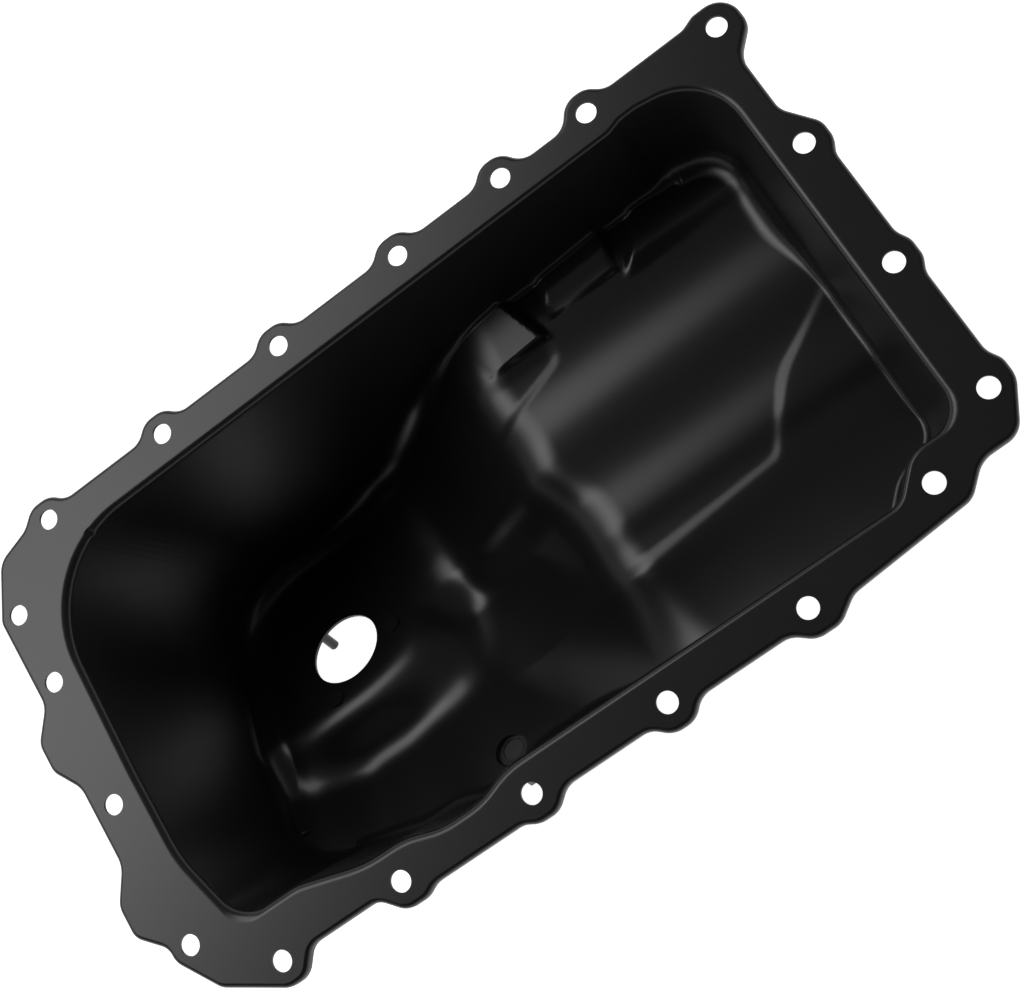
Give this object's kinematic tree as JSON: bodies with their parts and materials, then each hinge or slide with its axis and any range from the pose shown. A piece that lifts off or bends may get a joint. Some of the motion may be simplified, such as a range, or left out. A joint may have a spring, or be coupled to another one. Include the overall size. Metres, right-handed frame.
{
  "type": "engine oil pan",
  "caption": "Pressed sheet oil pan with a bolted flange, a shallow end and a deep tilted sump with a sensor hole and a drain screw.",
  "frame": {"origin": "middle of the bolt rectangle on the gasket face", "axes": "+Z out of the opening, square to the gasket face; +X towards the shallow end; +Y across, away from the drain side"},
  "size_m": [0.4224, 0.2395, 0.1507],
  "materials": {
    "black_coat": "semi-gloss black coat",
    "stud_steel": "dark plated",
    "bush_steel": "semi-gloss black coat",
    "plug_steel": "dull zinc",
    "washer_alu": "soft satin"
  },
  "bodies": {
    "root": {"pan": "black_coat", "sensor_studs": "stud_steel", "drain_bush": "bush_steel", "drain_plug": "plug_steel", "plug_washer": "washer_alu"}
  },
  "joints": []
}
